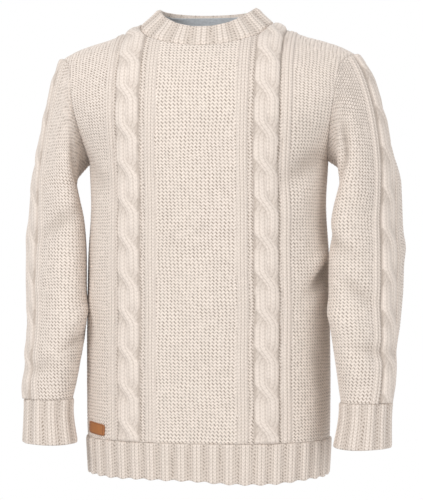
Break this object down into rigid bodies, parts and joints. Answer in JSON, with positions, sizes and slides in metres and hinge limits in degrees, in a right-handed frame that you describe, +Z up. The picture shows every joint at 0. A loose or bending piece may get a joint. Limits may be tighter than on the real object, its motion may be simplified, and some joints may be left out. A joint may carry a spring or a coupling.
{
  "type": "sweater",
  "caption": "Chunky cable-knit wool sweater in its worn form with no wearer: ribbed mock neckband, cuffs and hem, rope cables down the front and sleeves, open and hollow.",
  "frame": {"origin": "middle of the neck hole, level with the high points of the shoulders", "axes": "+Z up, the front faces -Y, +X is the viewer's right when looking at the front"},
  "size_m": [0.5833, 0.2413, 0.7047],
  "materials": {
    "wool": "matt heathered oatmeal wool knit",
    "fleece": "matt grey fleece",
    "leather": "satin tan leather"
  },
  "bodies": {
    "root": {"front_panel": "wool", "back_panel": "wool", "left_sleeve": "wool", "right_sleeve": "wool", "left_cuff": "wool", "right_cuff": "wool", "hem_rib_front": "wool", "hem_rib_back": "wool", "neckband": "wool", "neck_lining": "fleece", "leather_patch": "leather"}
  },
  "joints": []
}
